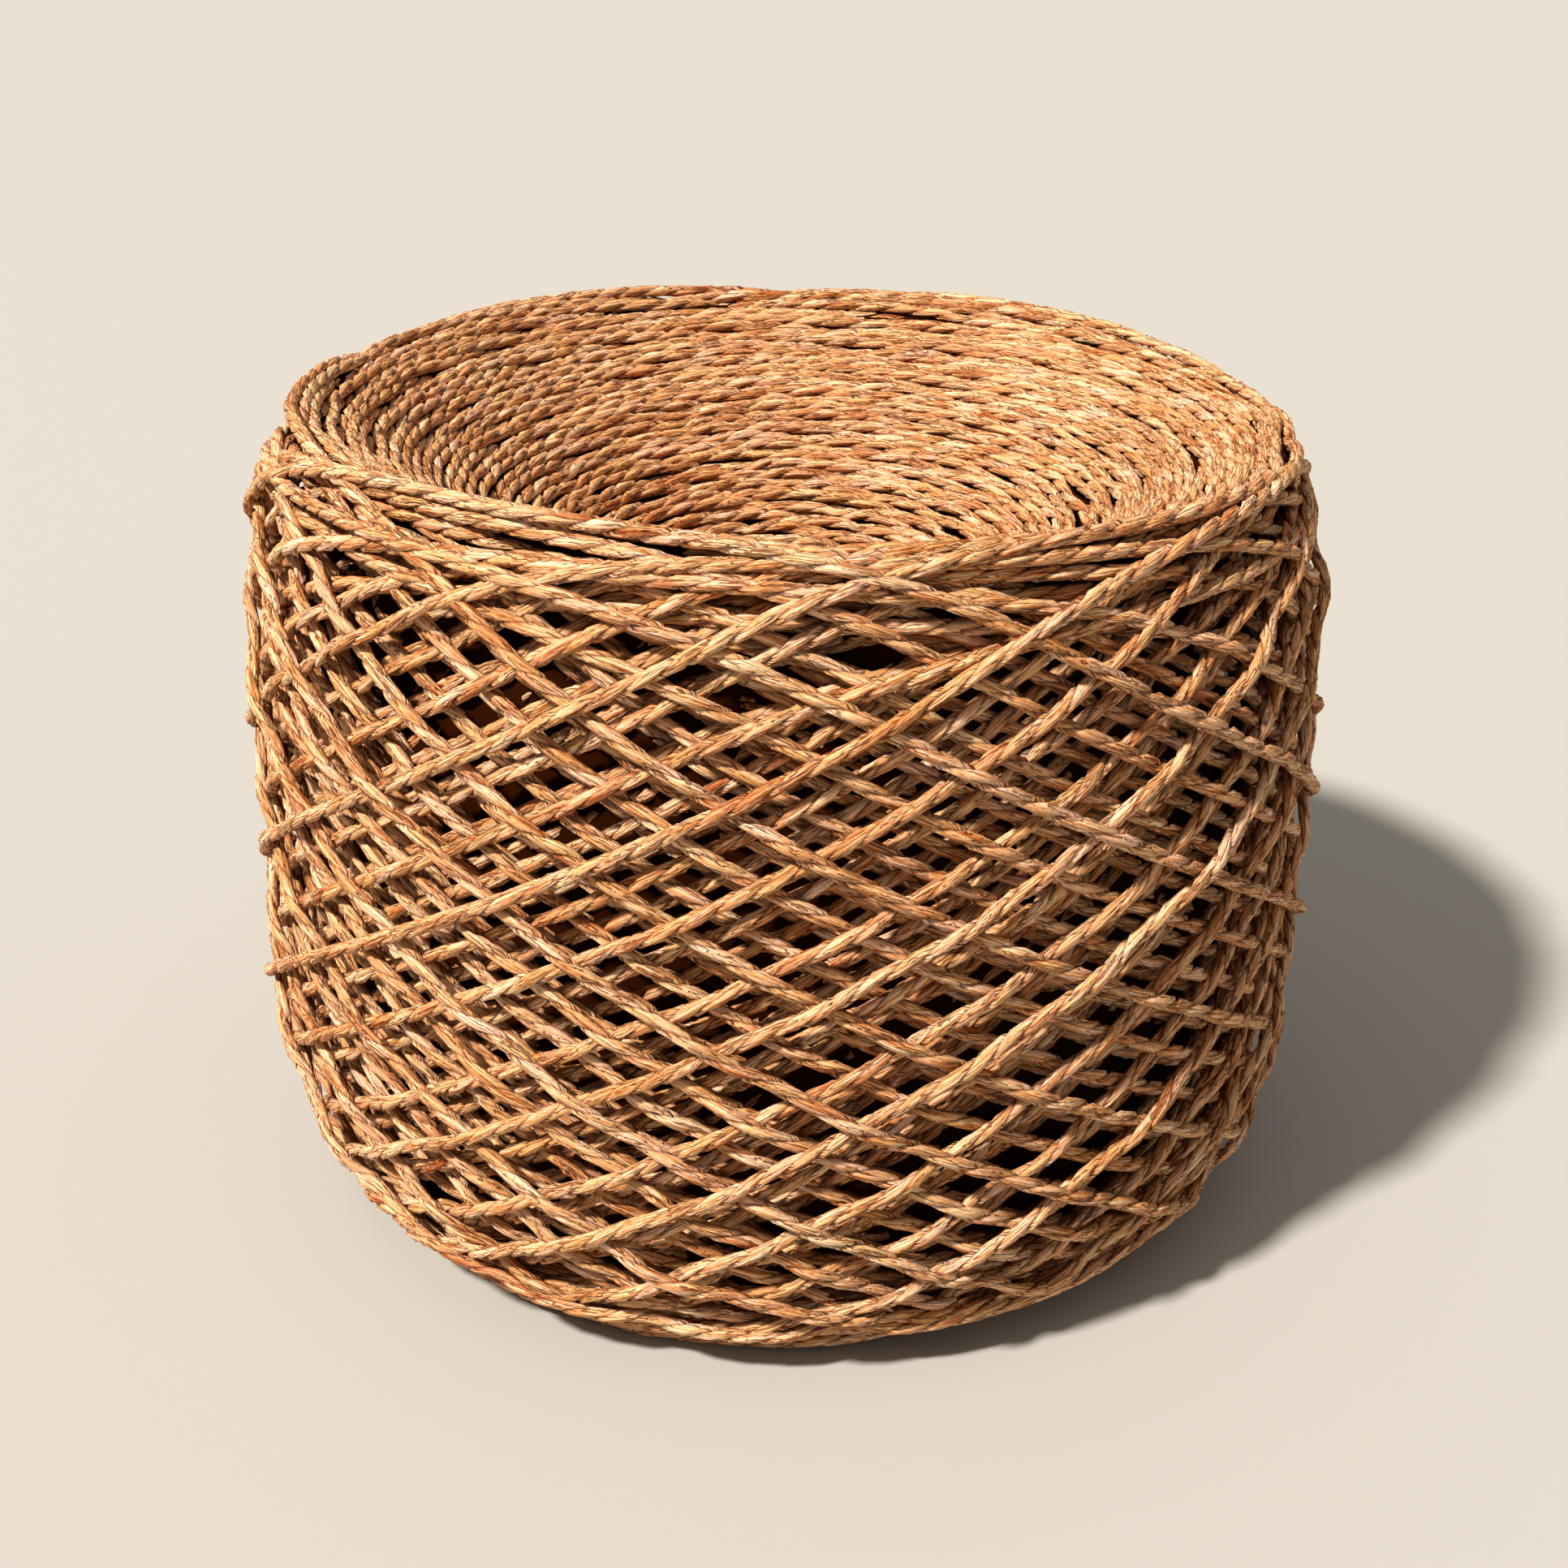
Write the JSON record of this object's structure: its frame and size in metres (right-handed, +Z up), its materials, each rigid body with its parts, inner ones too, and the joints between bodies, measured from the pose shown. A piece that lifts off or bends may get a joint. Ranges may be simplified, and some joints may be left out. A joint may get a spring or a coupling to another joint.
{
  "type": "ball of paper raffia yarn",
  "caption": "Cross-wound ball of twisted paper raffia yarn with a hollow centre and funnel-shaped ends, standing on its flat lower rim.",
  "frame": {"origin": "middle of the ball's outline on the surface that it stands on", "axes": "+Z up along the hollow centre, -Y the front as seen in the picture, +X to its right"},
  "size_m": [0.1364, 0.136, 0.1033],
  "materials": {
    "paper_yarn": "matt twisted paper with a faint sheen"
  },
  "bodies": {
    "root": {"wound_yarn": "paper_yarn"}
  },
  "joints": []
}
